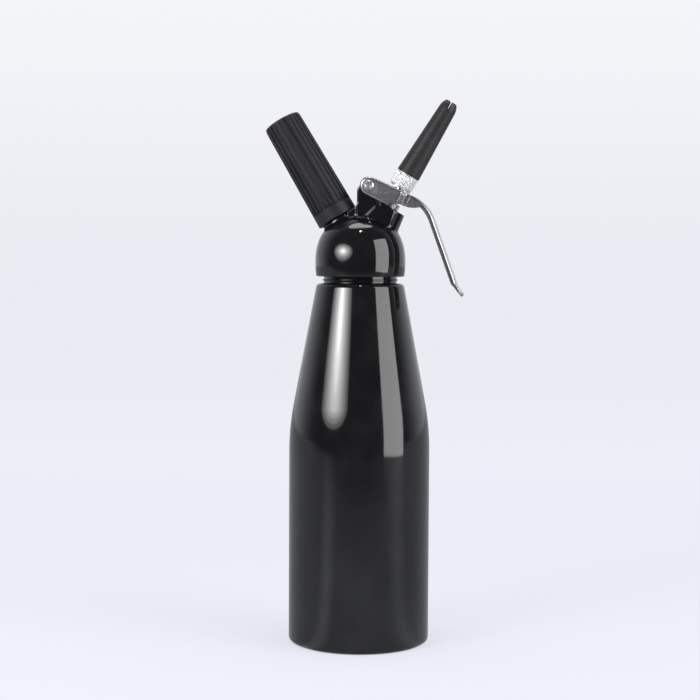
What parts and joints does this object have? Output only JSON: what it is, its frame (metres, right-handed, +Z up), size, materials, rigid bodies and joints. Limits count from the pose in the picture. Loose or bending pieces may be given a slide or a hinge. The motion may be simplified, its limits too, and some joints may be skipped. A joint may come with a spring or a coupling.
{
  "type": "whipped cream dispenser",
  "caption": "Upright gas-charged cream dispenser: coned bottle, screw-on domed head, ribbed charger holder, bent lever and slim decorating tip on a sprung valve.",
  "frame": {"origin": "centre of the circle that the bottle stands on", "axes": "+Z up along the bottle, +X towards the lever and the decorating tip, -X towards the charger holder"},
  "size_m": [0.1204, 0.085, 0.3269],
  "materials": {
    "black_gloss": "gloss black enamel",
    "dark_plastic": "satin dark grey moulding",
    "bare_aluminium": "bright turned",
    "polished_steel": "polished",
    "steel": "turned",
    "black_rubber": "matt",
    "white_silicone": "matt"
  },
  "bodies": {
    "bottle": {"bottle": "black_gloss"},
    "gasket": {"head_gasket": "white_silicone"},
    "head": {"head": "black_gloss", "inlet_valve_body": "steel", "piercing_needle": "steel", "charger_seal": "black_rubber", "check_valve_sleeve": "black_rubber", "valve_o_ring": "black_rubber", "o_ring_washer": "steel", "valve_gland": "bare_aluminium", "valve_spring": "steel", "lever_pin": "polished_steel", "pin_retaining_ring": "steel"},
    "valve": {"valve_stem": "steel", "valve_poppet": "steel", "poppet_seal": "black_rubber", "tip_adapter": "bare_aluminium"},
    "tip_seal": {"tip_seal": "black_rubber"},
    "nozzle": {"tip_collar": "bare_aluminium", "decorating_tip": "dark_plastic"},
    "lever": {"lever": "polished_steel"},
    "charger": {"gas_charger": "steel"},
    "holder": {"charger_holder": "dark_plastic", "holder_insert": "bare_aluminium"}
  },
  "joints": [
    {"name": "lever_press", "type": "hinge", "parent": "head", "child": "lever", "pos_m": [0.0062, 0, 0.2753], "axis": [0, 1, 0], "range_deg": [0, 10.9], "stiffness_Nm_per_rad": 0.87, "springref_deg": -6.88},
    {"name": "valve_travel", "type": "slide", "parent": "head", "child": "valve", "axis": [-0.5141, 0, -0.8577], "range_m": [0, 0.00301], "deforming": ["valve_spring"]},
    {"name": "head_rise", "type": "slide", "parent": "bottle", "child": "gasket", "axis": [0, 0, 1], "range_m": [0, 0.016]},
    {"name": "head_turn", "type": "hinge", "parent": "gasket", "child": "head", "pos_m": [0, 0, 0.2347], "axis": [0, 0, 1], "range_deg": [0, 1440]},
    {"name": "charger_feed", "type": "slide", "parent": "head", "child": "charger", "axis": [-0.5101, 0, 0.8601], "range_m": [0, 0.012]},
    {"name": "holder_turn", "type": "hinge", "parent": "charger", "child": "holder", "pos_m": [0, 0, 0.233], "axis": [-0.5101, 0, 0.8601], "range_deg": [0, 2160]},
    {"name": "tip_rise", "type": "slide", "parent": "valve", "child": "tip_seal", "axis": [0.5141, 0, 0.8577], "range_m": [0, 0.007]},
    {"name": "tip_turn", "type": "hinge", "parent": "tip_seal", "child": "nozzle", "pos_m": [0, 0, 0.2347], "axis": [0.5141, 0, 0.8577], "range_deg": [0, 2520]}
  ],
  "couplings": [
    {"joint": "valve_travel", "follows": "lever_press", "m_per_rad": 0.0158},
    {"joint": "head_rise", "follows": "head_turn", "m_per_rad": 0.00063662},
    {"joint": "charger_feed", "follows": "holder_turn", "m_per_rad": 0.00031831},
    {"joint": "tip_rise", "follows": "tip_turn", "m_per_rad": 0.00015915}
  ]
}
